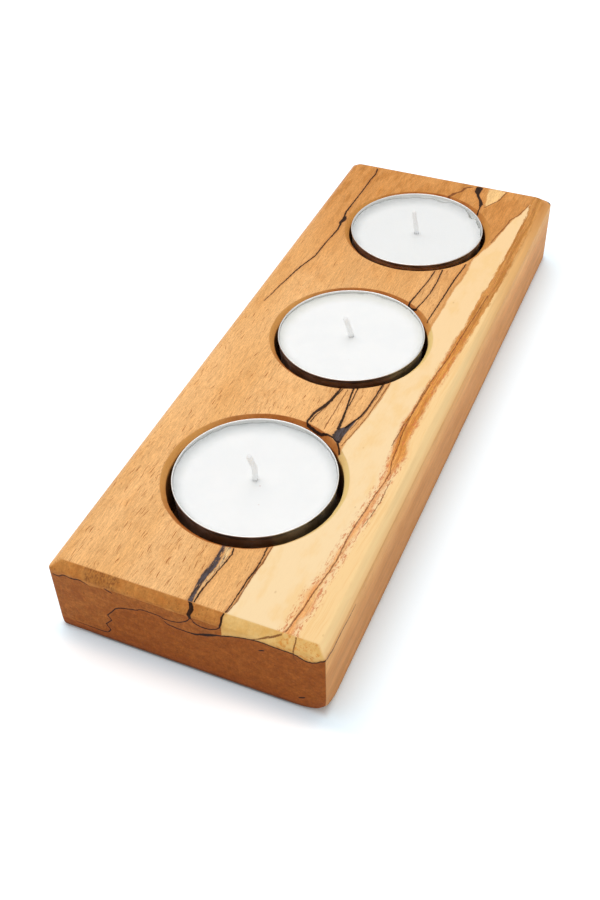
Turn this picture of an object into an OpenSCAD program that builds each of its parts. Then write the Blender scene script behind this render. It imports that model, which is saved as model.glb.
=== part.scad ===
// Advent candle holder: one block of spalted beech with a row of three blind bores,
// each holding a tealight made of a drawn aluminium cup, a pressed wax slug, a wick
// and the sheet-metal sustainer that keeps the wick upright.
// Millimetres. Origin at the middle of the underside, +Y along the row, +Z up.

/* [Holder] */
// Length of the block, along the row of tealights
holder_length = 182; // [165:1:300]
// Width of the block
holder_width = 64.5; // [54:0.5:110]
// Height of the block
holder_height = 21.5; // [18:0.5:45]
// Width of the 45 degree chamfer round the top face
top_chamfer = 2; // [0.5:0.1:4]
// Radius of the four upright corners
corner_radius = 1; // [0.3:0.1:4]
// Radius that eases the bottom edges
base_easing = 1.2; // [0.2:0.1:3]
// Places of the bores from the near end, as shares of the length
bore_place_shares = [0.2175, 0.529, 0.8235]; // [0.15:0.0001:0.85]
// Drift of the hand-set bores off the centre line, as shares of the width
bore_drift_shares = [-0.02, 0, -0.008]; // [-0.04:0.001:0.04]
// Gap between the rim of a tealight and the wall of its bore
bore_clearance = 1; // [0.3:0.1:2]
// Width of the 45 degree chamfer at the mouth of each bore
mouth_chamfer = 1.2; // [0.2:0.1:2]
// Diameter of the dimple that the drill's centre point leaves in the floor
dimple_diameter = 4; // [1:0.5:8]

/* [Cup] */
// Diameter of a tealight over its rolled rim
cup_diameter = 38; // [36:0.5:39]
// Height of the cup
cup_height = 15.3; // [12:0.1:17]
// Height of the rim above the top of the block
rim_stand = 0.8; // [0:0.1:4]
// Thickness of the drawn sheet
cup_sheet = 0.25; // [0.15:0.05:0.5]
// Radius of the rolled bead at the rim
bead_radius = 0.25; // [0.25:0.05:0.8]
// Draft of the wall, from the foot to the rim
cup_draft = 0.5; // [0:0.1:1.5]
// Outer radius between the foot and the wall
foot_radius = 1.6; // [0.8:0.1:3]
// Diameter of the pressed-up panel in the base
panel_diameter = 24; // [16:1:28]
// Rise of the pressed-up panel
panel_rise = 0.6; // [0.2:0.1:1.5]

/* [Wax and wick] */
// Depth of the wax below the rim in each of the three cups
wax_depths = [1.8, 1.2, 2]; // [0.5:0.1:5]
// Gap between the wax slug and the cup
wax_clearance = 0.1; // [0.1:0.05:0.6]
// Radius round the top edge of the wax
wax_edge = 0.6; // [0.2:0.1:1.5]
// Diameter of the dip that the press leaves round the wick
wax_dip_diameter = 9; // [4:0.5:16]
// Depth of that dip
wax_dip = 0.25; // [0.1:0.05:0.8]
// Diameter of the wick
wick_diameter = 1.5; // [0.8:0.1:2.5]
// Length of each wick that stands out of the wax
wick_stands = [8.1, 6.5, 7.9]; // [4:0.1:14]
// Radius of the bend where the wick starts to lean
wick_bend = 5; // [2:0.5:12]
// Lean of the three wicks from upright, in degrees
wick_leans = [16, 17, 9]; // [0:1:40]
// Compass direction of each lean, in degrees from +X towards +Y
wick_headings = [208, 202, 204]; // [0:1:360]
// Share of each free wick that stays upright below its bend
wick_upright_shares = [0.42, 0.08, 0.1]; // [0.05:0.01:0.7]
// Diameter of the sustainer's base disc
disc_diameter = 14; // [8:0.5:15]
// Thickness of the sustainer's sheet
disc_sheet = 0.25; // [0.15:0.05:0.5]
// Height of the sustainer's crimped neck above its disc
neck_height = 3; // [1.5:0.1:5]
// Radius of the fillet from the disc into the neck
neck_fillet = 0.8; // [0.3:0.1:1.5]
// Slip gap between the wick and the pieces that hold it
wick_clearance = 0.05; // [0.02:0.01:0.2]

/* [Hidden] */

// How far a cutting shape runs past the faces that it cuts
overrun = 1;
// Smoothness of round shapes
round_steps = 96;
bead_steps = 32;
wick_sides = 16;
bend_rings = 8;

// Bores
bore_radius = cup_diameter / 2 + bore_clearance;
bore_depth = cup_height - rim_stand;
bore_floor = holder_height - bore_depth;
dimple_radius = dimple_diameter / 2;

// Cup, measured from its own base: radii of the outside of the sheet
wall_top_radius = cup_diameter / 2 - bead_radius;
wall_foot_radius = wall_top_radius - cup_draft;
bead_height = cup_height - bead_radius;
panel_radius = panel_diameter / 2;
panel_top = cup_sheet + panel_rise;
cup_slope_share = cup_draft / (bead_height - foot_radius);

// Wax slug, sustainer and wick, measured from the base of the cup
wax_tops = [for (depth = wax_depths) cup_height - depth];
wax_bottom = panel_top;
wax_top_radii = [
  for (top = wax_tops) wall_top_radius - cup_sheet - wax_clearance - (bead_height - top) * cup_slope_share
];
wax_foot_radius = wall_foot_radius - cup_sheet - wax_clearance;
wax_foot_bevel = foot_radius;
dip_radius = wax_dip_diameter / 2;
wick_radius = wick_diameter / 2;
wick_hole_radius = wick_radius + wick_clearance;
disc_radius = disc_diameter / 2;
disc_top = panel_top + disc_sheet;
neck_top = disc_top + neck_height;
neck_radius = wick_hole_radius + disc_sheet;

// Colours
beech = [0.91, 0.69, 0.44];
aluminium = [0.8, 0.81, 0.83];
paraffin = [0.96, 0.96, 0.95];
cotton = [0.9, 0.89, 0.84];
tinplate = [0.7, 0.7, 0.68];

// What rounding takes off a corner, drawn for a corner that points to +X and +Y
module corner_waste(radius) {
  difference() {
    square(radius + overrun);
    circle(r = radius, $fn = bead_steps);
  }
}

// Side view of the block: chamfered above and eased below
module side_view(span) {
  half = span / 2;
  difference() {
    polygon([
      [-half, 0],
      [-half, holder_height - top_chamfer],
      [-half + top_chamfer, holder_height],
      [half - top_chamfer, holder_height],
      [half, holder_height - top_chamfer],
      [half, 0]
    ]);
    for (side = [0, 1])
      mirror([side, 0])
        translate([half - base_easing, base_easing])
          mirror([0, 1]) corner_waste(base_easing);
  }
}

// Outline of the block seen from above, with its corners rounded
module plan_view() {
  difference() {
    square([holder_width, holder_length], center = true);
    for (side = [0, 1], end = [0, 1])
      mirror([side, 0])
        mirror([0, end])
          translate([holder_width / 2 - corner_radius, holder_length / 2 - corner_radius])
            corner_waste(corner_radius);
  }
}

// One blind bore: straight wall, chamfered mouth and the dimple of the drill's point
module bore() {
  translate([0, 0, bore_floor])
    cylinder(r = bore_radius, h = bore_depth + overrun, $fn = round_steps);
  translate([0, 0, holder_height - mouth_chamfer])
    cylinder(r1 = bore_radius, r2 = bore_radius + mouth_chamfer + overrun, h = mouth_chamfer + overrun,
             $fn = round_steps);
  translate([0, 0, bore_floor - dimple_radius / 2])
    cylinder(r1 = 0, r2 = dimple_radius + overrun, h = (dimple_radius + overrun) / 2, $fn = round_steps);
}

// Moves what it holds to the middle of one bore
module at_bore(index) {
  x = holder_width * bore_drift_shares[index];
  y = holder_length * (bore_place_shares[index] - 1 / 2);
  translate([x, y, 0]) children();
}

// Moves what it holds to the floor of one bore, where the base of a cup rests
module in_bore(index) {
  at_bore(index) translate([0, 0, bore_floor]) children();
}

module holder_block() {
  color(beech)
    difference() {
      intersection() {
        linear_extrude(height = holder_height) plan_view();
        rotate([90, 0, 0])
          linear_extrude(height = holder_length + 2 * overrun, center = true) side_view(holder_width);
        rotate([90, 0, 90])
          linear_extrude(height = holder_width + 2 * overrun, center = true) side_view(holder_length);
      }
      for (index = [0:len(bore_place_shares) - 1]) at_bore(index) bore();
    }
}

// Half section of the drawn cup: panelled base, rounded foot, drafted wall and rolled bead
module cup_section() {
  // Rounded foot between the base and the wall
  translate([wall_foot_radius - foot_radius, foot_radius])
    intersection() {
      difference() {
        circle(r = foot_radius, $fn = round_steps);
        circle(r = foot_radius - cup_sheet, $fn = round_steps);
      }
      translate([0, -foot_radius]) square(foot_radius);
    }
  // Drafted wall up into the bead
  polygon([
    [wall_foot_radius - cup_sheet, foot_radius],
    [wall_foot_radius, foot_radius],
    [wall_top_radius, bead_height],
    [wall_top_radius - cup_sheet, bead_height]
  ]);
  translate([wall_top_radius, bead_height]) circle(r = bead_radius, $fn = bead_steps);
  // Foot ring, step and pressed-up panel
  polygon([
    [0, panel_rise],
    [panel_radius, panel_rise],
    [panel_radius + panel_rise, 0],
    [wall_foot_radius - foot_radius, 0],
    [wall_foot_radius - foot_radius, cup_sheet],
    [panel_radius + panel_rise + cup_sheet / 2, cup_sheet],
    [panel_radius + cup_sheet / 2, panel_top],
    [0, panel_top]
  ]);
}

module cup(index) {
  color(aluminium)
    in_bore(index) rotate_extrude($fn = round_steps) cup_section();
}

// Half section of the pressed slug: bevelled foot, softened top edge, dip and recess for the disc
module wax_section(top, top_radius) {
  difference() {
    union() {
      polygon([
        [0, wax_bottom],
        [wax_foot_radius - wax_foot_bevel, wax_bottom],
        [wax_foot_radius, wax_bottom + wax_foot_bevel],
        [top_radius, top - wax_edge],
        [top_radius - wax_edge, top],
        [dip_radius, top],
        [0, top - wax_dip]
      ]);
      translate([top_radius - wax_edge, top - wax_edge]) circle(r = wax_edge, $fn = bead_steps);
    }
    translate([0, -overrun]) square([wick_hole_radius, cup_height + 2 * overrun]);
    square([disc_radius + wick_clearance, disc_top + wick_clearance]);
    square([neck_radius + wick_clearance, neck_top + wick_clearance]);
    // Room for the fillet of the sustainer's neck
    translate([neck_radius, disc_top])
      square([neck_fillet, neck_fillet + wick_clearance]);
  }
}

module wax(index) {
  color(paraffin)
    in_bore(index)
      rotate_extrude($fn = round_steps) wax_section(wax_tops[index], wax_top_radii[index]);
}

// Half section of the sustainer: flat disc, fillet and neck
module sustainer_section() {
  translate([wick_hole_radius, panel_top]) square([disc_radius - wick_hole_radius, disc_sheet]);
  translate([wick_hole_radius, panel_top]) square([disc_sheet, disc_sheet + neck_height]);
  translate([neck_radius, disc_top])
    difference() {
      square(neck_fillet);
      translate([neck_fillet, neck_fillet]) circle(r = neck_fillet, $fn = bead_steps);
    }
}

module wick_sustainer(index) {
  color(tinplate)
    in_bore(index) rotate_extrude($fn = round_steps) sustainer_section();
}

// Middle and tilt of each ring of a wick: upright through the wax, one bend, then a leaning tip
function bend_point(angle, start) = [wick_bend * (1 - cos(angle)), start + wick_bend * sin(angle)];
function wick_rings(index) =
  let (
    lean = wick_leans[index],
    stand = wick_stands[index],
    start = wax_tops[index] - wax_dip + stand * wick_upright_shares[index],
    tip_length = stand * (1 - wick_upright_shares[index]) - wick_bend * lean * PI / 180,
    bend_end = bend_point(lean, start)
  )
  [
    [0, panel_top, 0],
    for (step = [0:bend_rings]) concat(bend_point(lean * step / bend_rings, start), lean * step / bend_rings),
    [bend_end.x + tip_length * sin(lean), bend_end.y + tip_length * cos(lean), lean]
  ];

// One point of a ring, turned with the ring's tilt about Y
function ring_point(ring, turn) = [
  ring[0] + wick_radius * cos(turn) * cos(ring[2]),
  wick_radius * sin(turn),
  ring[1] - wick_radius * cos(turn) * sin(ring[2])
];

module wick_shape(rings) {
  last = len(rings) - 1;
  polyhedron(
    points = [
      for (ring = rings, side = [0:wick_sides - 1]) ring_point(ring, side * 360 / wick_sides)
    ],
    faces = concat(
      [[for (side = [0:wick_sides - 1]) side]],
      [[for (side = [wick_sides - 1:-1:0]) last * wick_sides + side]],
      [
        for (level = [0:last - 1], side = [0:wick_sides - 1])
          let (low = level * wick_sides, high = low + wick_sides, next = (side + 1) % wick_sides)
            [low + side, high + side, high + next]
      ],
      [
        for (level = [0:last - 1], side = [0:wick_sides - 1])
          let (low = level * wick_sides, high = low + wick_sides, next = (side + 1) % wick_sides)
            [low + side, high + next, low + next]
      ]
    ),
    convexity = 4
  );
}

module wick(index) {
  color(cotton)
    in_bore(index)
      rotate([0, 0, wick_headings[index]]) wick_shape(wick_rings(index));
}

holder_block();
cup(0);  // cup_1
cup(1);  // cup_2
cup(2);  // cup_3
wax(0);  // wax_1
wax(1);  // wax_2
wax(2);  // wax_3
wick(0);  // wick_1
wick(1);  // wick_2
wick(2);  // wick_3
wick_sustainer(0);  // wick_sustainer_1
wick_sustainer(1);  // wick_sustainer_2
wick_sustainer(2);  // wick_sustainer_3
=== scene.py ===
"""Looks of the advent candle holder: a block of spalted beech with three tealights.

Lengths are millimetres until they reach Blender, which works in metres. Places on the
wood were read from the photograph, as pixels of its 600 x 900 frame, and are laid on
the block by the same camera that the render uses.
"""
import math

import bmesh
import bpy
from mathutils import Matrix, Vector, noise


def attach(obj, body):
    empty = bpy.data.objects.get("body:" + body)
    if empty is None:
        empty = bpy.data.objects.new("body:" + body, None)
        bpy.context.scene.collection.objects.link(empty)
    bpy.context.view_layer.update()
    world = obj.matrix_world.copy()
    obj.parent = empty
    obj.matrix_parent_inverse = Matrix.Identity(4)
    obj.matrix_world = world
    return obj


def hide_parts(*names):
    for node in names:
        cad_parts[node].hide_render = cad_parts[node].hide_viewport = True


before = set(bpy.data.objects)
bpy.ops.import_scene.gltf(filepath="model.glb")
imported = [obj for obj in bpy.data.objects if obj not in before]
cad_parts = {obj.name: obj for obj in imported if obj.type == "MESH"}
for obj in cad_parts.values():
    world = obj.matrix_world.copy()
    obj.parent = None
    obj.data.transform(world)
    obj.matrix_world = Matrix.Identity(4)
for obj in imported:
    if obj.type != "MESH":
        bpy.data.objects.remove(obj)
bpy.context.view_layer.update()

MM = 0.001

# Photograph's frame and the camera that fits it
FRAME_WIDTH, FRAME_HEIGHT = 600, 900
FOCAL_PIXELS = 1119.3
SENSOR = 36.0
CAMERA_AZIMUTH = math.radians(24.654)
CAMERA_ELEVATION = math.radians(43.648)
CAMERA_ROLL = math.radians(-2.1)
CAMERA_DISTANCE = 291.86
CAMERA_TARGET = Vector((-4.43, -19.36, 0.5))
CLIP_START, CLIP_END = 0.01, 10.0
SETTLING_ROUNDS = 16

# Block
HALF_WIDTH, HALF_LENGTH, HEIGHT = 32.25, 91.0, 21.5
CHAMFER = 2.0
BASE_EASING = 1.0
EDGE_SOFTNESS = 0.3
BORE_PLACES = ((-1.35, -51.36), (0.05, 5.34), (-0.2, 59.2))
BORE_RADII = (20.45, 20.1, 19.9)
BORE_FLOOR = 7.0
MOUTH_CHAMFER = 1.3
MOUTH_FOOT = HEIGHT - MOUTH_CHAMFER
MOUTH_EASING = 0.15
MOUTH_WEAR = 0.07
DIMPLE_RADIUS = 2.0
CELL_HALF = 25.4
GRID_STEP = 1.1
CORNER_STEPS = 10
CORNER_RADII = {
    "near right": (3.2, 0.6, 1.0),
    "far right": (2.4, 1.9, 3.2),
    "far left": (1.6, 0.8, 1.7),
    "near left": (1.4, 1.0, 1.5),
}
WIDEST_CORNER = 3.5
WEAR_REACH, WEAR_DEPTH = 7.0, 1.3

# Tealights, loose in their bores; heights are measured from the base of the cup
TEALIGHT_PLACES = ((-1.25, -51.33), (0.12, 5.32), (-0.25, 58.88))
TURN_STEPS = 192
CUP_HEIGHT = 15.3
CUP_SHEET = 0.2
RIM_OUTSIDE = 19.15
RIM_RADIUS = 0.17
BEAD_HEIGHT = CUP_HEIGHT - RIM_RADIUS
RIM_LEVEL = BORE_FLOOR + BEAD_HEIGHT
WALL_TOP_RADIUS = 18.98
WALL_FOOT_RADIUS = 18.25
FOOT_RADIUS = 1.6
WALL_SLOPE = (WALL_TOP_RADIUS - WALL_FOOT_RADIUS) / (BEAD_HEIGHT - FOOT_RADIUS)
PANEL_RADIUS = 12.0
PANEL_RISE = 0.6
PANEL_TOP = PANEL_RISE + CUP_SHEET
WAX_DEPTHS = (1.8, 1.2, 2.0)
WAX_CLEARANCE = 0.03
WAX_FOOT_CUT = 1.7
RECESS_RADIUS, RECESS_TOP = 7.4, 1.2
NECK_ROOT, NECK_TOP = (1.9, 1.2), (1.05, 4.2)
CREEP_SHARES = (1.0, 0.8, 0.56, 0.33, 0.16, 0.05, 0.0)
WAX_CLIMBS = ((0.85, 1.4), (0.55, 0.85), (1.2, 1.5))
WAX_TOP_RADII = (
    16.0, 15.0, 13.5, 12, 10.5, 9, 7.5, 6, 5, 4, 3.2, 2.5, 2.0, 1.6, 1.3, 1.05, 0.87, 0.76, 0.68,
)
WAX_EDGE_START = 15.5
CAD_WAX_DIP = 0.25
DIP_DEPTH, DIP_RADIUS = 0.12, 4.5
MENISCUS_HEIGHT, MENISCUS_REACH = 0.4, 0.6
CRUMBLE_DEPTH = 0.75
CRUMBLE_HEADING = math.radians(65)
REAR_HEADING = math.radians(114.7)
REAR_SHADE_SHIFT = 1.2
WICK_HOLE = 0.8
WICK_HOLE_BRIM = 0.64
WICK_HOLE_TAPER = 1.2
WICK_HOLE_FOOT = 5.0
WICK_RADIUS = 0.72
WICK_SIDES = 36
WICK_STEPS = 90
TRIMMED_STEPS = 3
BRAID_DEPTH = 0.07
BRAID_TWIST = 0.52
BRAID_STRANDS = 3
WICK_STANDS = (8.1, 6.5, 7.9)
WICK_LEANS = (16.0, 17.0, 9.0)
WICK_HEADINGS = (208.0, 202.0, 204.0)
WICK_UPRIGHT_SHARES = (0.42, 0.08, 0.1)
WICK_BEND = 5.0

# Floor and light, in metres
FLOOR_REACH = 4.0
FLOOR_GAP = 0.00005
WORLD_LIGHT = 0.64
KEY_PLACE = Vector((-0.22, 0.18, 0.96))
KEY_SIZE = 0.9
KEY_POWER = 4.5


# Camera

def camera_axes():
    """Right, up and back of the camera, as unit vectors."""
    back = Vector((
        math.sin(CAMERA_AZIMUTH) * math.cos(CAMERA_ELEVATION),
        -math.cos(CAMERA_AZIMUTH) * math.cos(CAMERA_ELEVATION),
        math.sin(CAMERA_ELEVATION),
    ))
    right = Vector((0, 0, 1)).cross(back).normalized()
    up = back.cross(right)
    cosine, sine = math.cos(CAMERA_ROLL), math.sin(CAMERA_ROLL)
    return cosine * right + sine * up, cosine * up - sine * right, back


RIGHT, UP, BACK = camera_axes()
CAMERA_PLACE = CAMERA_TARGET + BACK * CAMERA_DISTANCE


def make_camera():
    data = bpy.data.cameras.new("camera")
    data.sensor_width = SENSOR
    data.lens = FOCAL_PIXELS / FRAME_HEIGHT * SENSOR
    data.clip_start, data.clip_end = CLIP_START, CLIP_END
    camera = bpy.data.objects.new("camera", data)
    bpy.context.scene.collection.objects.link(camera)
    for row in range(3):
        for column, axis in enumerate((RIGHT, UP, BACK)):
            camera.matrix_world[row][column] = axis[row]
        camera.matrix_world[row][3] = CAMERA_PLACE[row] * MM
    bpy.context.scene.camera = camera


def on_plane(pixel, normal, offset):
    """Where the ray through a pixel meets the plane normal . point = offset."""
    normal = Vector(normal)
    ray = (
        RIGHT * (pixel[0] - FRAME_WIDTH / 2)
        - UP * (pixel[1] - FRAME_HEIGHT / 2)
        - BACK * FOCAL_PIXELS
    )
    step = (offset - CAMERA_PLACE.dot(normal)) / ray.dot(normal)
    return CAMERA_PLACE + ray * step


def on_top(pixel):
    """A pixel laid on the top, or on the chamfered mouth of a bore in it."""
    height = HEIGHT
    for _ in range(SETTLING_ROUNDS):
        point = on_plane(pixel, (0, 0, 1), height)
        inside = max(
            radius - math.dist(point[:2], centre)
            for centre, radius in zip(BORE_PLACES, BORE_RADII)
        )
        sunk = min(max(inside + MOUTH_CHAMFER, 0.0), MOUTH_CHAMFER)
        height += (HEIGHT - sunk - height) / 2
    return point


def on_near_end(pixel):
    """A pixel laid on the near end, or on the chamfer above it."""
    point = on_plane(pixel, (0, -1, 0), HALF_LENGTH)
    if point.z > HEIGHT - CHAMFER:
        point = on_plane(pixel, (0, -1, 1), HALF_LENGTH + HEIGHT - CHAMFER)
    return point


def on_right_side(pixel):
    return on_plane(pixel, (1, 0, 0), HALF_WIDTH)


def reader(lay, along, across):
    """A function that lays pixels on the block as (along, across) marks, in order."""
    return lambda pixels: sorted((lay(p)[along], lay(p)[across]) for p in pixels)


along_length = reader(on_top, 1, 0)
over_width = reader(on_top, 0, 1)
across_end = reader(on_near_end, 0, 2)
up_end = reader(on_near_end, 2, 0)
along_side = reader(on_right_side, 1, 2)


# Node building

def linear(red, green, blue):
    """A colour as it looks on the screen, 0 to 255, as Blender's linear values."""
    channels = []
    for value in (red, green, blue):
        share = value / 255
        channels.append(share / 12.92 if share <= 0.04045 else ((share + 0.055) / 1.055) ** 2.4)
    return (*channels, 1.0)


class Value:
    """An output of a node; arithmetic on it adds the nodes that work it out."""

    def __init__(self, socket):
        self.socket = socket

    def __add__(self, other):
        return maths("ADD", self, other)

    def __sub__(self, other):
        return maths("SUBTRACT", self, other)

    def __mul__(self, other):
        return maths("MULTIPLY", self, other)

    def __abs__(self):
        return maths("ABSOLUTE", self)


def put(socket, value):
    if isinstance(value, Value):
        socket.id_data.links.new(value.socket, socket)
    else:
        socket.default_value = value


def node(beside, kind, **settings):
    """A new node in the same tree as the value beside it."""
    made = beside.socket.id_data.nodes.new(kind)
    for name, value in settings.items():
        setattr(made, name, value)
    return made


def maths(operation, *values, clamp=False):
    beside = next(value for value in values if isinstance(value, Value))
    made = node(beside, "ShaderNodeMath", operation=operation, use_clamp=clamp)
    for socket, value in zip(made.inputs, values):
        put(socket, value)
    return Value(made.outputs[0])


def least(first, *others):
    for other in others:
        first = maths("MINIMUM", first, other)
    return first


def most(first, *others):
    for other in others:
        first = maths("MAXIMUM", first, other)
    return first


def inverse(value):
    return maths("SUBTRACT", 1.0, value, clamp=True)


def swing(noise_value, reach):
    """A noise value as a swing of up to reach on each side of zero."""
    return maths("MULTIPLY_ADD", noise_value, 2.0 * reach, -reach)


def ramp(value, start, end, low=0.0, high=1.0, smooth=True):
    """Low before start, high after end."""
    kind = "SMOOTHSTEP" if smooth else "LINEAR"
    made = node(value, "ShaderNodeMapRange", interpolation_type=kind, clamp=True)
    put(made.inputs["Value"], value)
    for name, number in zip(("From Min", "From Max", "To Min", "To Max"), (start, end, low, high)):
        put(made.inputs[name], number)
    return Value(made.outputs["Result"])


def join(x, y, z):
    made = node(x, "ShaderNodeCombineXYZ")
    for socket, value in zip(made.inputs, (x, y, z)):
        put(socket, value)
    return Value(made.outputs[0])


def split(vector):
    made = node(vector, "ShaderNodeSeparateXYZ")
    put(made.inputs[0], vector)
    return [Value(output) for output in made.outputs]


def scaled(vector, factors):
    made = node(vector, "ShaderNodeVectorMath", operation="MULTIPLY")
    put(made.inputs[0], vector)
    made.inputs[1].default_value = factors
    return Value(made.outputs[0])


def clouds(vector, factors, detail, roughness=0.5):
    """Noise whose factors are high where it changes fast."""
    made = node(vector, "ShaderNodeTexNoise")
    put(made.inputs["Vector"], scaled(vector, factors))
    made.inputs["Scale"].default_value = 1.0
    made.inputs["Detail"].default_value = detail
    made.inputs["Roughness"].default_value = roughness
    return Value(made.outputs["Fac"])


def specks(vector, factors, rim, core, share, faintest=1.0):
    """Specks in a share of random cells, fading from core to rim."""
    made = node(vector, "ShaderNodeTexVoronoi", feature="F1")
    put(made.inputs["Vector"], scaled(vector, factors))
    made.inputs["Scale"].default_value = 1.0
    chance, strength, _ = split(Value(made.outputs["Color"]))
    there = maths("LESS_THAN", chance, share) * ramp(strength, 0.0, 1.0, faintest, 1.0)
    return ramp(Value(made.outputs["Distance"]), rim, core) * there


def blend(share, first, second):
    """Two colours mixed; three bare numbers are a colour as it looks on the screen."""
    made = node(share, "ShaderNodeMix", data_type="RGBA", clamp_factor=True)
    put(made.inputs[0], share)
    for socket, colour in zip((made.inputs[6], made.inputs[7]), (first, second)):
        put(socket, linear(*colour) if isinstance(colour, tuple) and len(colour) == 3 else colour)
    return Value(made.outputs[2])


def painted(colour, *coats):
    """A colour under coats, each a share and a colour."""
    for share, coat in coats:
        colour = blend(share, colour, coat)
    return colour


def toned(colour, tone):
    """A colour made darker or lighter by a number."""
    made = node(colour, "ShaderNodeMix", data_type="RGBA", blend_type="MULTIPLY")
    made.inputs[0].default_value = 1.0
    put(made.inputs[6], colour)
    put(made.inputs[7], join(tone, tone, tone) if isinstance(tone, Value) else tone)
    return Value(made.outputs[2])


def curve(value, points, smooth=True):
    """A drawn curve through points, whose shares run from 0 to 1."""
    made = node(value, "ShaderNodeFloatCurve")
    drawing = made.mapping.curves[0]
    drawing.points[0].location = points[0]
    drawing.points[1].location = points[-1]
    for point in points[1:-1]:
        drawing.points.new(*point)
    for point in drawing.points:
        point.handle_type = "AUTO_CLAMPED" if smooth else "VECTOR"
    made.mapping.update()
    put(made.inputs["Value"], value)
    return Value(made.outputs[0])


def drawn(along, marks, smooth=True):
    """(across, share): the place of a line drawn through (along, across) marks."""
    first, last = marks[0][0], marks[-1][0]
    low = min(mark[1] for mark in marks)
    span = max(max(mark[1] for mark in marks) - low, 0.01)
    share = ramp(along, first, last, smooth=False)
    points = [((mark[0] - first) / (last - first), (mark[1] - low) / span) for mark in marks]
    return maths("MULTIPLY_ADD", curve(share, points, smooth), span, low), share


def fade_past(along, first, last, depth):
    """A depth that falls off outside first to last."""
    beyond = abs(along - (first + last) / 2) - (last - first) / 2
    return maths("MULTIPLY_ADD", most(beyond, 0.0), -3.0, depth)


def line(along, across, marks, widths, smooth=True):
    """Depth inside a line whose widths are spread evenly from its first mark to its last."""
    place, share = drawn(along, marks, smooth)
    widest = max(widths)
    half = widest / 2
    if min(widths) < widest:
        steps = len(widths) - 1
        half = curve(share, [(i / steps, width / widest) for i, width in enumerate(widths)]) * half
    depth = maths("SUBTRACT", half, abs(across - place))
    return fade_past(along, marks[0][0], marks[-1][0], depth)


def lines(group, along, across, lay, smooth=True):
    """Depth inside the nearest of a group of lines, drawn as pixels and widths."""
    return most(*(line(along, across, lay(pixels), widths, smooth) for pixels, widths in group))


def band(along, across, edges):
    """Depth inside the band between two edges drawn along the top."""
    left, right = (along_length(edge) for edge in edges)
    depth = least(across - drawn(along, left)[0], drawn(along, right)[0] - across)
    return fade_past(along, max(left[0][0], right[0][0]), min(left[-1][0], right[-1][0]), depth)


def distance(along, across, centre):
    """Distance from a centre in the plane of two coordinates."""
    aside, above = along - centre[0], across - centre[1]
    return maths("SQRT", aside * aside + above * above)


def make_material(name, look):
    """A material whose Principled inputs are what look says of a place in millimetres.

    Relief is a height, a strength and a depth in millimetres, and becomes a bump. Lift is
    the colour of a diffuse shader that is added.
    """
    material = bpy.data.materials.new(name)
    material.use_nodes = True
    tree = material.node_tree
    tree.nodes.clear()
    shader = tree.nodes.new("ShaderNodeBsdfPrincipled")
    output = tree.nodes.new("ShaderNodeOutputMaterial")
    surface = Value(shader.outputs[0])
    coordinates = tree.nodes.new("ShaderNodeTexCoord")
    looks = look(scaled(Value(coordinates.outputs["Object"]), (1 / MM,) * 3))
    if "lift" in looks:
        diffuse = tree.nodes.new("ShaderNodeBsdfDiffuse")
        put(diffuse.inputs["Color"], looks.pop("lift"))
        both = tree.nodes.new("ShaderNodeAddShader")
        put(both.inputs[0], surface)
        put(both.inputs[1], Value(diffuse.outputs[0]))
        surface = Value(both.outputs[0])
    put(output.inputs["Surface"], surface)
    if "relief" in looks:
        height, strength, depth = looks.pop("relief")
        bump = tree.nodes.new("ShaderNodeBump")
        bump.inputs["Strength"].default_value = strength
        bump.inputs["Distance"].default_value = depth * MM
        put(bump.inputs["Height"], height)
        looks["Normal"] = Value(bump.outputs[0])
    for key, value in looks.items():
        put(shader.inputs[key], value)
    return material


# Spalted beech
#
# The dark zone lines, the pale stripe and the orange streak are drawn as pixels of the
# photograph. Widths are in mm, from near to far on the top, from left to right across the
# near end and from bottom to top up it.

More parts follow.
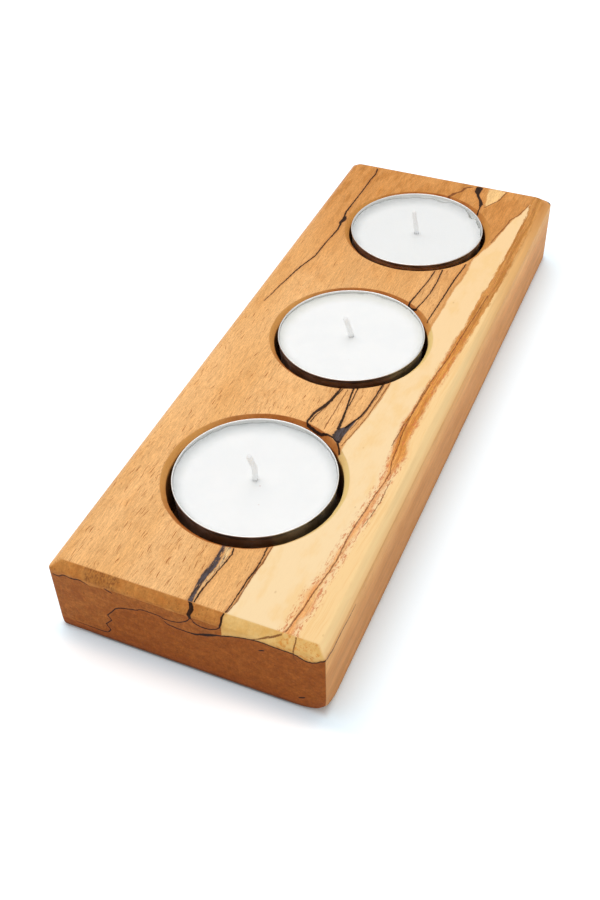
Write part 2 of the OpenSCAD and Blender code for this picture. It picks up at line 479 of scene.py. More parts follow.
TOP_ZONE_LINES = (
    ([(234, 548.4), (232.3, 554), (226.6, 561), (217, 571.4), (207.4, 583), (199.8, 592.4),
      (194, 602), (192, 606)], (0.34, 0.36, 0.32, 0.28, 0.3, 0.4)),
    ([(268.2, 547.4), (264, 555), (260, 562.8), (255.3, 570.4), (246.7, 581), (242, 588.6),
      (231.3, 604), (223.7, 614.4), (222, 617)], (0.34, 0.24, 0.3, 0.34, 0.26, 0.42)),
    ([(341, 388.5), (331.4, 400), (323.8, 406.3), (314.8, 412.7), (307.8, 420.4), (306.9, 424.4)],
     (0.5, 0.7, 0.95, 0.8, 0.42)),
    ([(342.9, 389), (329, 403.8), (314.8, 416.5), (310.4, 421.6)], (0.35, 0.2, 0.2, 0.25)),
    ([(355, 388.5), (349.3, 400), (347.4, 407), (344.2, 415.3), (341.6, 421.6), (337.8, 429.3)],
     (0.8, 0.62, 0.45, 0.42, 0.5)),
    ([(358.5, 388.5), (353, 398.5), (349, 406)], (0.3, 0.25, 0.4)),
    ([(385, 384), (376, 396), (368.4, 407.6), (360.8, 416.5), (351.8, 423), (345.5, 428)],
     (0.7, 0.5, 0.42, 0.42, 0.5)),
    ([(435.2, 270.9), (427.8, 281.3), (418.5, 292.5), (409.9, 303), (408.4, 307.5)],
     (0.6, 0.36, 0.33, 0.33)),
    ([(442.7, 270), (437.5, 281.3), (430.7, 292.5), (423.3, 301.5), (416.6, 309.7)],
     (0.33, 0.35, 0.36)),
    ([(465.8, 264.2), (454.6, 279.9), (445.7, 293.3), (435.2, 309.7), (427, 323.1)],
     (0.3, 0.35, 0.42, 0.33)),
    ([(377.7, 168.8), (375.5, 174.2), (369.6, 180.8), (362.3, 191), (352, 204.3), (346, 212.3),
      (343, 219.5), (337.3, 230), (327, 241), (315.5, 255.7), (301, 266.2), (292.5, 273.8),
      (279, 286.3), (273.4, 292), (263.8, 300.6)], (0.16, 0.32, 0.42, 0.34, 0.55, 0.42, 0.38, 0.4)),
    ([(346, 216.5), (343.5, 220), (339.5, 223.5)], (0.6, 1.3, 0.6)),
    ([(480, 187.6), (477.4, 192.5), (478.4, 196.7), (480.4, 201), (481, 204.9)],
     (1.2, 1.0, 0.9, 1.9, 2.1)),
    ([(480.4, 204.5), (479.8, 207.6), (477.8, 212.4), (476.8, 216)], (0.5, 0.4, 1.0)),
    ([(332.7, 437.6), (336.5, 442), (339, 448.4), (339.3, 454.8)], (0.5, 0.42, 0.4)),
    ([(338, 441), (337.6, 443.5), (338.6, 447)], (0.4, 0.9)),
)
CROSSING_ZONE_LINES = (
    ([(408.4, 307), (411, 309.2), (413.5, 309.9), (416.8, 309.6)], (0.9, 0.6, 0.5)),
    ([(307, 424.2), (311, 428), (316, 431.8), (321.2, 435), (327.6, 434.6), (332.7, 437.6)],
     (0.75, 0.6, 0.5)),
)
TOP_BROWN_LINES = (
    ([(273.4, 546.5), (268.7, 553), (263, 562.8), (257.2, 569.5), (245.7, 586.7), (236, 602),
      (226.6, 612.5)], (0.26, 0.24, 0.3, 0.24)),
    ([(282, 634.4), (286.6, 630.8), (302.4, 609.4), (314.6, 591), (319.2, 585), (327.2, 574.6),
      (337.6, 558.4), (346.7, 540), (351.6, 531), (366, 509.6), (374.8, 495.6), (384.6, 482),
      (390.2, 472), (391.4, 462), (397.2, 448.4), (402.8, 433), (412, 413), (424.5, 391),
      (437, 373), (448.4, 358)], (0.32, 0.26, 0.24, 0.26)),
    ([(391.6, 446), (397, 437), (404.2, 425), (414, 411), (421, 399), (430, 385)],
     (0.2, 0.24, 0.24)),
    ([(363.3, 526.4), (371, 516), (380.4, 501.7), (391, 480)], (0.1, 0.18, 0.1)),
    ([(348, 389.7), (341.6, 400), (331.4, 416.5), (323.8, 429.3)], (0.2, 0.22)),
    ([(390, 383.4), (382.4, 394.8), (368.4, 415.3), (354.4, 431.8), (341.6, 446)],
     (0.24, 0.2, 0.24)),
    ([(386, 383.8), (378, 396), (364, 415), (350, 430)], (0.14, 0.18)),
    ([(506.5, 192.7), (498.8, 200.8), (488, 205.6), (483.9, 207.6)], (0.3, 0.34)),
    ([(529, 205), (519, 215), (510.2, 220.4), (506, 226), (496, 236.6), (491, 243)],
     (0.2, 0.3, 0.2)),
    ([(472, 187), (465.5, 188), (462, 191.2), (455, 193.2), (448.5, 198.1)],
     (0.9, 1.1, 0.7, 0.8, 1.1)),
    ([(447.4, 359.5), (460, 339), (477, 313), (488, 295.5)], (0.26, 0.22, 0.2)),
)
SMEAR_EDGES = (
    [(222, 545), (220.3, 549), (211.2, 563), (200, 577), (193.7, 589), (187.5, 600), (187, 606)],
    [(226, 545), (224.5, 549), (222, 556), (218, 563.5), (213, 570), (207, 577), (198.6, 589),
     (193, 601), (192, 606)],
)
CREAM_EDGES = (
    [(225, 546), (219, 563), (207, 577), (198.6, 589), (194, 600)],
    [(233.5, 547), (226, 560.5), (216.4, 571), (206.8, 582.6), (199.2, 592), (195, 600.5)],
)
BLOT_EDGES = (
    [(353.5, 420.6), (349, 425), (343, 427.6), (336, 430), (332.6, 434.5), (335.4, 441.6)],
    [(356, 421.4), (351, 427.4), (346.8, 432.6), (342.8, 438), (339.6, 444)],
)
PATCH_EDGES = (
    [(489, 189.6), (487, 196.5), (485, 206.3)],
    [(507, 191), (497.5, 200.8), (485.6, 206.6)],
)
SHADE_EDGES = (
    [(499, 201), (488, 219), (476, 246)],
    [(529, 204), (520.5, 214.6), (511, 220.5), (506.6, 226.5), (496.6, 237), (489, 246)],
)
PALE_EDGE = [
    (219.5, 628), (226.6, 612.5), (236, 602), (245.7, 586.7), (257.2, 569.5), (263, 562.8),
    (273.4, 546.5), (309, 498), (342.6, 447), (346.8, 441.4), (355.2, 431.6), (370.6, 413.4),
    (384.6, 393.8), (390.2, 384), (414, 350), (428.9, 332.8), (434.2, 322), (443, 308),
    (453.7, 290), (464.4, 276), (471.5, 261.7), (478.6, 254.6), (491, 244), (500.5, 233.3),
    (509.5, 222.6), (521, 213.7), (530.5, 204),
]
STREAK_LEFT = [
    (277, 634), (282.8, 626.9), (289.1, 619.3), (294.2, 609), (308.3, 586), (317.2, 578.5),
    (324.8, 565.7), (338.9, 545.3), (346.5, 532.6), (358, 515), (372, 493), (380.4, 479),
    (386, 465), (391.6, 452.6), (404.2, 423.2), (412.6, 412), (421, 396.6), (437.8, 371.4),
    (450, 351), (458.2, 338), (471.5, 318.5), (478.6, 304.3), (487.5, 290), (494.6, 279.5),
    (502.6, 265.3), (508.8, 254.6), (516.8, 238.6), (526.6, 220.9), (532.3, 204.9),
]
STREAK_RIGHT = [
    (296, 641), (301.9, 626), (310.8, 616.7), (317.2, 606.5), (323, 592.5), (336.3, 570.8),
    (352.9, 544), (361.8, 531.3), (380.4, 499.5), (393, 477.8), (404.2, 459.6), (408.4, 440),
    (422.4, 413.4), (433.6, 392.4), (440.6, 382.6), (455, 358), (468, 336.3), (482, 311.4),
    (491, 297.2), (508.8, 268.8), (519.5, 251), (526.6, 238.6), (536.3, 224.4), (545, 205),
]
BROW_LINE = [
    (52.7, 573.4), (57.4, 575.6), (64, 575.4), (71.8, 578.7), (78.5, 580), (83.3, 582.5), (88, 585),
]
CORE_LINE = [
    (168.4, 624.6), (179, 629), (190.2, 632.9), (200.4, 634.6), (220.8, 635.9), (237, 637.4),
    (251.4, 640), (261.6, 642.6), (271.8, 646.6), (282, 650.2), (292.2, 653.8), (300.4, 658.4),
    (307.6, 661.9), (314.7, 663), (322.9, 661.9),
]
END_ZONE_LINES = (
    (BROW_LINE, (0.3, 0.34, 0.34, 0.15)),
    ([(163.6, 618.9), (158, 615.5), (150.2, 612.7), (144.5, 610.7), (135, 610), (128.2, 609),
      (120.6, 608.2), (115.8, 608.6)], (0.4, 0.3, 0.3, 0.34)),
    ([(109, 631.8), (102.4, 630.6), (86, 624.6), (75.6, 620.8)], (0.12, 0.22, 0.34)),
    ([(190, 616), (187.6, 620.3), (183.7, 621.7), (177, 622.2), (169.4, 620.8), (163.6, 618.9)],
     (0.34, 0.3, 0.5)),
    ([(163.6, 620.8), *CORE_LINE, (210, 635), (325, 662.2)],
     (0.36, 0.36, 0.6, 0.4, 0.34, 0.34, 0.36, 0.4, 0.4)),
    ([(190.7, 618.6), (195.3, 623.7), (203.5, 627.8), (214.7, 629.3), (219.3, 627.8)],
     (0.5, 0.4, 0.34, 0.4)),
    ([(199, 634.2), (205, 634.9), (215.5, 635.4)], (0.5, 0.95, 0.6)),
    ([(258.6, 650.4), (264.4, 650.8)], (0.3, 0.42, 0.2)),
    ([(298.6, 697.6), (305, 697.9)], (0.3, 0.5, 0.3)),
    ([(104, 588.6), (112, 593.6)], (0.3, 0.45, 0.3)),
)
END_SMUDGES = (((90, 573), 2.2), ((100, 578), 2.4), ((112, 582), 2.2), ((206, 633), 1.6))
UPRIGHT_ZONE_LINES = (
    ([(115.8, 608.4), (112, 611.7), (107.7, 615), (111.7, 620.3), (106.2, 623.7), (111, 629.4),
      (109, 631.8)], (0.34, 0.34)),
    ([(189.5, 601), (191, 606), (191.4, 609), (188.2, 615), (190, 619)], (0.6, 0.9, 1.1, 0.8)),
    ([(224.4, 613), (221.4, 617.6), (220.8, 623.7), (219, 628.4)], (0.34, 0.5, 0.34)),
)
END_BROWN_LINES = (
    ([(251.4, 639.5), (263.7, 638), (271.8, 637), (282, 634.4)], (0.3, 0.34)),
)
UPRIGHT_BROWN_LINES = (
    ([(297.3, 632), (296.3, 636), (295.3, 643), (293.3, 655.3), (297.3, 662.4)], (0.22, 0.3, 0.22)),
)
CORE_EDGE = [
    (66, 616.5), (75.6, 620.8), (86, 624.6), (102.4, 630.6), (106, 627), (108.5, 621),
    (110.5, 616), (114.5, 609.5), (120.6, 608.2), (128.2, 609), (135, 610), (144.5, 610.7),
    (150.2, 612.7), (158, 615.5), (163.6, 619.8), *CORE_LINE, (328.5, 659),
]
BROW_EDGE = [*BROW_LINE, (97, 587.5), (110, 590.5)]
SIDE_LINE = [
    (327.3, 659), (330, 654), (333.4, 648.6), (336.4, 642.2), (343.3, 628.4), (349, 618),
    (355.9, 604.3),
]
PITH = (-34.0, -66.0)
SIDE_TOP_LIGHT = (1.0, 1.16, 1.25, 1)


def spalted_beech(place):
    x, y, z = split(place)
    facing = split(Value(node(place, "ShaderNodeNewGeometry").outputs["Normal"]))
    sideways, endwise = abs(facing[0]), abs(facing[1])
    at_end = ramp(abs(y), HALF_LENGTH - CHAMFER - 0.08, HALF_LENGTH - CHAMFER + 0.12)

    # Small wander of the drawn lines
    wander = clouds(place, (0.2, 0.2, 0.4), 2.0)
    jitter = clouds(place, (1.7, 1.3, 2.1), 3.0, 0.65)
    shift = swing(wander, 0.16) + swing(jitter, 0.24)
    across, along = x + shift, y + shift

    # Noises that the wood's tones share
    broad = clouds(place, (0.07, 0.012, 0.09), 3.0)
    patches = clouds(place, (0.2, 0.09, 0.25), 3.0, 0.6)
    billows = clouds(place, (0.45, 0.12, 0.5), 4.0, 0.6)
    streaks = clouds(place, (0.6, 0.02, 0.7), 4.0, 0.6)
    fibre = clouds(place, (4.5, 0.4, 4.5), 4.0, 0.7)
    grain = clouds(place, (3.5, 2.2, 3.5), 2.0, 0.7)
    ragged = clouds(place, (1.5, 0.3, 1.5), 4.0, 0.75)
    brushed = clouds(place, (2.6, 0.3, 2.6), 4.0, 0.7)
    frayed = x + swing(ragged, 1.1)

    # Golden wood, which darkens and turns streaky towards the far end
    gold = painted(
        blend(ramp(broad, 0.35, 0.65), (239, 179, 112), (247, 191, 128)),
        (ramp(y + swing(patches, 18.0), 5.0, 82.0), (222, 154, 85)),
        (ramp(patches, 0.5, 0.72, 0.0, 0.5), (226, 160, 92)),
        (ramp(billows, 0.42, 0.66) * ramp(y, 40.0, 80.0, 0.0, 0.8), (196, 128, 60)),
    )

    # Pale sapwood with a brown fringe along its edge
    pale_edge, streak_left, streak_right = (
        drawn(y, along_length(edge))[0] for edge in (PALE_EDGE, STREAK_LEFT, STREAK_RIGHT)
    )
    into_pale = x + swing(ragged, 0.6) - pale_edge
    pale_share = ramp(into_pale, -0.1, 0.25)
    pale = painted(
        blend(ramp(y, -60.0, 70.0), (255, 224, 175), (255, 217, 163)),
        (ramp(patches, 0.48, 0.68, 0.0, 0.7), (252, 211, 148)),
    )
    fringe = ramp(abs(into_pale + 0.3), 0.75, 0.1) * ramp(y, -70.0, 40.0, 0.3, 0.55)

    # Orange streak: a halo with speckled edges near by, a solid stripe further off
    middle = (streak_left + streak_right) * 0.5
    streak_depth = (streak_right - streak_left) * 0.5 - abs(frayed - middle)
    by_streak = join(x - middle, y, z)
    stripes = clouds(by_streak, (1.5, 0.05, 1.2), 4.0, 0.65)
    speckles = clouds(by_streak, (2.9, 0.8, 2.4), 4.0, 0.7)
    solid = ramp(y, -46.0, -28.0)
    toward_far = ramp(y, -5.0, 38.0)
    streak_core = ramp(
        streak_depth + solid * 0.7 + toward_far * 0.1,
        -0.1, ramp(solid * 0.6 + toward_far, 0.0, 1.6, 1.6, 0.3),
    )
    orange = blend(
        ramp(stripes, 0.4, 0.6),
        painted(blend(solid, (250, 192, 126), (238, 166, 83)), (toward_far, (216, 152, 82))),
        painted(blend(solid, (236, 158, 92), (212, 136, 60)), (toward_far, (190, 126, 58))),
    )
    speckle_share = (
        ramp(speckles, 0.5, 0.6) * ramp(abs(streak_depth - 0.3), 1.3, 0.3)
        * ramp(toward_far, 0.0, 1.0, 0.85, 0.4)
    )
    outer = painted(
        blend(ramp(y, 30.0, 88.0), (255, 216, 156), (236, 174, 106)),
        (ramp(stripes, 0.48, 0.62, 0.0, 0.5), (248, 200, 134)),
    )

    # All of these together are the wood as it is cut lengthwise
    cream = band(y, x, CREAM_EDGES)
    patch = band(y, frayed, PATCH_EDGES)
    shade = band(y, frayed, SHADE_EDGES)
    long_wood = painted(
        blend(pale_share, gold, pale),
        (fringe, (206, 140, 78)),
        (ramp(cream, -0.1, 0.3, 0.0, 0.7), (250, 214, 156)),
        (ramp(patch, -0.3, 0.3, 0.0, 0.9), (254, 208, 142)),
        (ramp(shade, -0.6, 1.6, 0.0, 0.7) * ramp(billows, 0.3, 0.6, 0.6, 1.0), (208, 140, 73)),
        (ramp(frayed - streak_right, -0.6, 0.6), outer),
        (streak_core, orange),
        (speckle_share, (212, 124, 74)),
    )
    calm = pale_share * inverse(streak_core)
    lively_tone = (
        ramp(streaks, 0.3, 0.7, 0.94, 1.05) * ramp(fibre, 0.25, 0.75, 0.79, 1.2)
        * ramp(grain, 0.25, 0.75, 0.89, 1.1)
    )
    calm_tone = ramp(fibre, 0.2, 0.8, 0.98, 1.015)
    long_wood = toned(long_wood, lively_tone * inverse(calm) + calm_tone * calm)

    # Orange-brown flecks along the grain: long thin ones, and fainter ones between them
    bent = join(x + swing(patches, 1.6) + swing(jitter, 0.05), y, z)
    density = ramp(broad + swing(patches, 0.3), 0.3, 0.7, 0.2, 0.68)
    near_share = ramp(y, 45.0, -30.0, 0.3, 1.0)
    long_flecks = (
        specks(bent, (2.7, 0.19, 2.7), 0.3, 0.17, density * near_share, 0.35)
        * ramp(fibre, 0.28, 0.42, 0.5, 1.0)
    )
    short_flecks = specks(bent, (3.6, 0.7, 3.6), 0.36, 0.16, 0.45, 0.2) * 0.62
    faint_flecks = specks(bent, (2.3, 0.07, 2.3), 0.28, 0.12, 0.3, 0.3) * 0.4
    flecks = (
        most(long_flecks, short_flecks, faint_flecks) * ramp(pale_share, 0.0, 1.0, 1.0, 0.03)
        * ramp(sideways, 0.3, 0.9, 1.0, 0.8) * ramp(y, 70.0, 30.0, 0.5, 1.0)
    )
    dots = specks(place, (0.3, 0.2, 0.3), 0.1, 0.05, 0.5) * calm

    # Right-hand edge: peach on the chamfer, browner on the side, which is nearer the core;
    # painted light on the upper side, painted shade at its foot and where the chamfer meets it
    peach = toned(
        painted(
            blend(ramp(y, 0.0, 60.0), (255, 219, 159), (248, 192, 122)),
            (ramp(y, 50.0, 88.0), (224, 156, 86)),
        ),
        ramp(streaks, 0.3, 0.7, 0.95, 1.05) * ramp(stripes, 0.3, 0.7, 1.03, 0.96),
    )
    # Painted light: the side's tone rises towards its top
    shaded_side_wood = toned(
        blend(ramp(patches, 0.3, 0.7), (213, 149, 88), (223, 160, 99)),
        ramp(streaks, 0.3, 0.7, 0.93, 1.05) * ramp(fibre, 0.25, 0.75, 0.89, 1.07)
        * ramp(y, -80.0, 40.0, 1.0, 1.08) * ramp(z, 9.0, 17.5, 1.0, 1.22),
    )
    # Painted shade: the side darkens towards its foot
    shaded_side_wood = painted(shaded_side_wood, (ramp(z, 3.4, 0.6, 0.0, 0.5), (190, 118, 54)))
    shaded_side_wood = painted(
        shaded_side_wood,
        # painted light: a lighter, paler copy of the side towards its top
        (ramp(z, 12.0, 18.0), toned(shaded_side_wood, SIDE_TOP_LIGHT)),
        (long_flecks * ramp(x, 0.0, 1.0, 0.0, 0.35), (160, 92, 44)),
    )
    on_side = ramp(sideways, 0.75, 0.98) * ramp(x, HALF_WIDTH - 1.5, HALF_WIDTH - 0.6)
    long_wood = painted(
        long_wood,
        (flecks * 0.95, (170, 98, 44)),
        (dots * 0.3, (190, 146, 92)),
        (ramp(frayed, 29.6, 30.8), peach),
        # painted shade where the chamfer rounds into the side
        (ramp(x, 31.0, 32.2, 0.0, 0.5), (240, 182, 118)),
        (on_side, shaded_side_wood),
    )

    # End grain drinks more oil, so it is darker and redder
    mottle = clouds(place, (0.33, 0.1, 0.5), 4.0, 0.6)
    speck = clouds(place, (2.4, 0.6, 1.8), 3.0, 0.7)
    crumbs = clouds(place, (0.95, 0.3, 1.3), 5.0, 0.7)
    mottled = ramp(mottle, 0.3, 0.7)
    ring_radius = distance(x, z, PITH)
    ring_wave = maths("SINE", ring_radius * 2.3 + swing(mottle, 4.0))
    ray_angle = maths("ARCTAN2", z - PITH[1], x - PITH[0])
    rays = clouds(join(ray_angle, ring_radius, 0.0), (95.0, 0.28, 1.0), 3.0)
    pores = specks(place, (1.25, 0.3, 1.7), 0.3, 0.14, 0.3)
    drift = clouds(place, (0.045, 0.01, 0.07), 1.0)
    far_bend = ramp(y, -1.0, 1.0) * swing(drift, 7.0)
    lifted = z + swing(jitter, 0.2)
    end_x = x + swing(jitter, 0.16) + far_bend
    end_z = lifted + far_bend
    ochre = painted(
        blend(mottled, (198, 124, 57), (213, 145, 75)),
        (ramp(speck, 0.52, 0.66, 0.0, 0.6), (158, 94, 48)),
    )
    lemon = painted(
        blend(ramp(mottle, 0.35, 0.65), (237, 185, 105), (247, 203, 129)),
        (ramp(crumbs, 0.5, 0.6) * ramp(end_x, 20.0, 22.5, 0.0, 0.8), (222, 146, 66)),
    )
    left_brown = blend(mottled, (166, 93, 38), (182, 110, 49))
    core_brown = painted(
        blend(mottled, (156, 83, 29), (172, 97, 38)),
        # darker and redder towards the bottom of the end
        (ramp(z, 6.0, 0.0, 0.0, 0.6), (152, 76, 30)),
    )
    brow_height, core_height = (
        drawn(end_x, across_end(edge))[0] for edge in (BROW_EDGE, CORE_EDGE)
    )
    under_brow = ramp(brow_height - end_z, -0.06, 0.1) * ramp(end_x, 9.3, 9.1)
    under_core = ramp(core_height - end_z, -0.06, 0.1)
    end_wood = painted(
        blend(ramp(end_x, 9.1, 9.4), ochre, lemon),
        (under_brow, left_brown),
        (under_core, core_brown),
    )
    end_tone = (
        ramp(speck, 0.3, 0.7, 0.84, 1.12) * ramp(crumbs, 0.3, 0.7, 0.86, 1.1)
        * ramp(ring_wave, -1.0, 1.0, 0.97, 1.02) * ramp(rays, 0.3, 0.7, 0.94, 1.05)
        * ramp(pores, 0.0, 1.0, 1.0, 0.72)
    )
    smudges = most(*(
        ramp(distance(x, z, across_end([pixel])[0]), reach, reach * 0.4)
        for pixel, reach in END_SMUDGES
    ))
    end_wood = painted(
        toned(end_wood, end_tone),
        (ramp(end_x, 9.0, 9.3) * inverse(under_core) * 0.75, end_wood),
        (smudges * ramp(speck, 0.4, 0.58) * ramp(y, 1.0, -1.0) * 0.6, (122, 74, 40)),
    )

    # Mouths of the bores show side grain at their sides and end grain before and behind
    on_mouth = (
        ramp(z, HEIGHT - 0.02, HEIGHT - 0.2) * inverse(at_end)
        * ramp(abs(x), 29.5, 28.5) * ramp(sideways, 0.2, 0.6)
    )
    mouth_side = blend(calm, (231, 165, 86), (255, 222, 144))
    long_wood = painted(long_wood, (on_mouth * 0.8, mouth_side))
    mouth_wood = toned(
        painted(blend(mottled, (186, 108, 48), (204, 128, 64)), (calm, (242, 194, 120))),
        ramp(speck, 0.3, 0.7, 0.9, 1.08),
    )
    cut_wood = blend(at_end, mouth_wood, end_wood)

    # Painted shade along the foot, strongest on the ends, and painted shade down the bores
    # below their mouths, over a little darkening where the cutter rubbed
    foot_shade = (
        ramp(z, 1.9, 0.3, 0.0, 0.75) * ramp(abs(facing[2]), 0.998, 0.98)
        * ramp(endwise, 0.05, 0.3, 0.3, 1.0)
    )
    bore_shade = least(
        ramp(z, MOUTH_FOOT, MOUTH_FOOT - 1.2),
        ramp(z, BORE_FLOOR - 1.5, BORE_FLOOR - 1.2),
        ramp(abs(x), HALF_WIDTH - 1.0, HALF_WIDTH - 2.0),
        ramp(abs(y), HALF_LENGTH - 1.0, HALF_LENGTH - 2.0),
    )
    wood = painted(
        blend(ramp(endwise, 0.25, 0.68), long_wood, cut_wood),
        # painted shade along the foot
        (foot_shade, (84, 44, 22)),
        # painted shade in the bores, weaker on walls that face the far end
        (bore_shade * ramp(facing[1], 0.1, 0.8, 0.92, 0.6), (66, 32, 14)),
    )

    # Zone lines: on the top, across the ends, up the ends and under the right-hand chamfer
    top_black = most(
        lines(TOP_ZONE_LINES, y, across, along_length, smooth=False),
        lines(CROSSING_ZONE_LINES, x, along, over_width, smooth=False),
    )
    top_brown = lines(TOP_BROWN_LINES, y, across, along_length, smooth=False)
    end_black = most(
        lines(END_ZONE_LINES, end_x, end_z, across_end),
        lines(UPRIGHT_ZONE_LINES, end_z, end_x, up_end, smooth=False),
    )
    end_brown = most(
        lines(END_BROWN_LINES, end_x, end_z, across_end),
        lines(UPRIGHT_BROWN_LINES, end_z, end_x, up_end),
    )
    side_line = line(y, lifted, along_side(SIDE_LINE), (0.36, 0.3, 0.12))
    off_side = ramp(x, 31.4, 30.9, 0.0, 5.0)
    off_end, off_top = at_end * 5.0, inverse(at_end) * 5.0
    black = most(top_black - off_end, end_black - off_top, side_line - off_side)
    brown = most(top_brown - off_end, end_brown - off_top)
    above_bores = most(
        ramp(z, MOUTH_FOOT - 1.0, MOUTH_FOOT - 0.4),
        ramp(abs(y), HALF_LENGTH - 2.2, HALF_LENGTH - 2.0),
        ramp(x, 31.0, 31.4),
    )
    brown_share = ramp(brown, -0.09, 0.06) * ramp(speckles, 0.35, 0.5, 0.55, 0.85) * above_bores

    # Blue-black smears between the lines, with a brown halo round all of them
    smear, blot = (band(y, across, edges) for edges in (SMEAR_EDGES, BLOT_EDGES))
    smear_share = ramp(smear, -0.16, 0.16) * ramp(smear * 0.16 + ragged, 0.4, 0.48)
    blot_share = ramp(jitter * 0.8 + blot, 0.25, 0.6)
    cream_specks = ramp(cream, 0.0, 0.2) * ramp(brushed, 0.52, 0.6)
    fill_share = most(smear_share, blot_share, cream_specks) * inverse(at_end) * above_bores
    fill = blend(ramp(brushed, 0.4, 0.6), (38, 36, 41), (72, 73, 84))
    ink = blend(ramp(ragged, 0.42, 0.62), (20, 11, 8), (44, 27, 24))
    halo = ramp(most(black, smear, blot), -0.9, 0.1, 0.0, 0.3) * above_bores
    wood = painted(
        wood,
        (halo, (178, 100, 50)),
        (brown_share, (122, 66, 32)),
        (fill_share * 0.94, fill),
        (ramp(black, -0.09, 0.07, 0.0, 0.96) * above_bores, ink),
    )
    filled = inverse(most(flecks, pores * endwise))
    return {
        "Base Color": wood,
        "Roughness": ramp(fibre, 0.3, 0.7, 0.46, 0.6, smooth=False),
        "Specular IOR Level": 0.07,
        "relief": (fibre * 0.35 + grain * 0.2 + speck * 0.2 + filled * 0.9, 0.5, 0.08),
    }


# Metals, wax and cotton

def from_axis(x, y, offset=(0, 0)):
    """Distance from the nearest tealight's axis, shifted by an offset."""
    return least(*(
        distance(x, y, (centre_x + offset[0], centre_y + offset[1]))
        for centre_x, centre_y in TEALIGHT_PLACES
    ))


def drawn_aluminium(place):
    x, y, z = split(place)
    smudges = clouds(place, (0.25,) * 3, 3.0)
    middle_of_sheet = (z - RIM_LEVEL) * WALL_SLOPE + (WALL_TOP_RADIUS - CUP_SHEET / 2)
    inner = (
        ramp(middle_of_sheet - from_axis(x, y), -0.03, 0.03) * ramp(z, RIM_LEVEL, RIM_LEVEL - 0.2)
    )
    # Inner wall: painted shade below the rim, turning to painted light lower down, against the shade
    # where the wall meets the wax
    inside = blend(ramp(z, RIM_LEVEL - 0.2, RIM_LEVEL - 1.3), (214, 214, 211), (251, 251, 249))
    return {
        "Base Color": painted(blend(smudges, (232, 232, 231), (244, 244, 243)), (inner, inside)),
        "Metallic": 1.0,
        "Roughness": ramp(smudges, 0.3, 0.7, 0.3, 0.42),
        "relief": (clouds(place, (3.0, 3.0, 0.15), 3.0), 0.2, 0.03),
    }


def tinplate(place):
    scratches = clouds(place, (0.5, 4.0, 4.0), 3.0)
    return {
        "Base Color": blend(scratches, (176, 176, 172), (206, 206, 202)),
        "Metallic": 1.0,
        "Roughness": ramp(scratches, 0.3, 0.7, 0.3, 0.45),
    }


def paraffin(place):
    """Wax with grey-green patches at its edge, where the sheet shows through, and painted shade
    towards the rear, next to the wall.
    """
    x, y, z = split(place)
    cloudy = clouds(place, (0.12,) * 3, 3.0)
    grains = clouds(place, (1.6,) * 3, 3.0, 0.6)
    patchy = clouds(place, (0.32,) * 3, 3.0, 0.6)
    dust = specks(place, (0.11,) * 3, 0.04, 0.02, 0.4)
    # Painted shade, deepest at the rear next to the wall, so measured from a point in front of the
    # axis
    shifted = (-REAR_SHADE_SHIFT * math.cos(REAR_HEADING), -REAR_SHADE_SHIFT * math.sin(REAR_HEADING))
    rear_shade = ramp(from_axis(x, y, shifted) + swing(patchy, 0.7), 15.6, 20.0)
    edge = ramp(from_axis(x, y), 17.6, 18.7) * ramp(patchy, 0.45, 0.7)
    on_slug_top = ramp(z, BORE_FLOOR + 12.0, BORE_FLOOR + 13.0)
    # Colour of the painted shade, one for each slug by its place along the block
    shaded = painted(
        blend(ramp(y, -24.0, -22.0), (209, 212, 212), (221, 219, 209)),
        (ramp(y, 30.0, 32.0), (210, 211, 210)),
    )
    wax = painted(
        blend(ramp(cloudy, 0.3, 0.7), (248, 249, 248), (253, 253, 251)),
        # painted shade: the far slug a little greyer
        (ramp(y, 20.0, 45.0, 0.0, 0.7), (236, 237, 236)),
        (rear_shade * on_slug_top * 0.72, shaded),
        (edge * on_slug_top * 0.35, (200, 210, 205)),
        (dust * 0.35, (206, 170, 160)),
    )
    return {
        "Base Color": wax,
        "Subsurface Weight": 0.35,
        "Subsurface Radius": (1.0, 0.95, 0.9),
        "Subsurface Scale": 1.2 * MM,
        "Roughness": ramp(grains, 0.3, 0.7, 0.4, 0.55),
        "Specular IOR Level": 0.3,
        "relief": (grains, 0.15, 0.04),
    }


def waxed_cotton(place):
    threads = clouds(place, (4.0, 4.0, 1.5), 3.0)
    return {
        "Base Color": blend(ramp(threads, 0.3, 0.7), (243, 243, 238), (252, 252, 249)),
        "Subsurface Weight": 0.9,
        "Subsurface Radius": (1.0, 0.95, 0.9),
        "Subsurface Scale": 2.5 * MM,
        "Roughness": 0.5,
        "relief": (threads, 0.4, 0.08),
    }


# Shapes

def finish_mesh(name, builder, material, body, replaced):
    """Turns a bmesh in millimetres into a piece in metres that rides on its body."""
    bmesh.ops.scale(builder, vec=(MM,) * 3, verts=builder.verts)
    bmesh.ops.recalc_face_normals(builder, faces=builder.faces)
    mesh = bpy.data.meshes.new(name)
    builder.to_mesh(mesh)
    builder.free()
    mesh.polygons.foreach_set("use_smooth", [True] * len(mesh.polygons))
    mesh.materials.append(material)
    piece = bpy.data.objects.new(name, mesh)
    bpy.context.scene.collection.objects.link(piece)
    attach(piece, body)
    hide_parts(replaced)


def eased_corner(before, corner, after, reach, steps=4):
    """Points that round a corner of a profile, reach from it on both sides."""
    corner = Vector(corner)
    start = corner + (Vector(before) - corner).normalized() * reach
    end = corner + (Vector(after) - corner).normalized() * reach
    points = []
    for step in range(steps + 1):
        share = step / steps
        points.append(tuple(start.lerp(corner, share).lerp(corner.lerp(end, share), share)))
    return points


def arc_points(centre, radius, start, end, steps):
    """Points on an arc between two angles in degrees."""
    points = []
    for step in range(steps + 1):
        angle = math.radians(start + (end - start) * step / steps)
        points.append((centre[0] + radius * math.cos(angle), centre[1] + radius * math.sin(angle)))
    return points


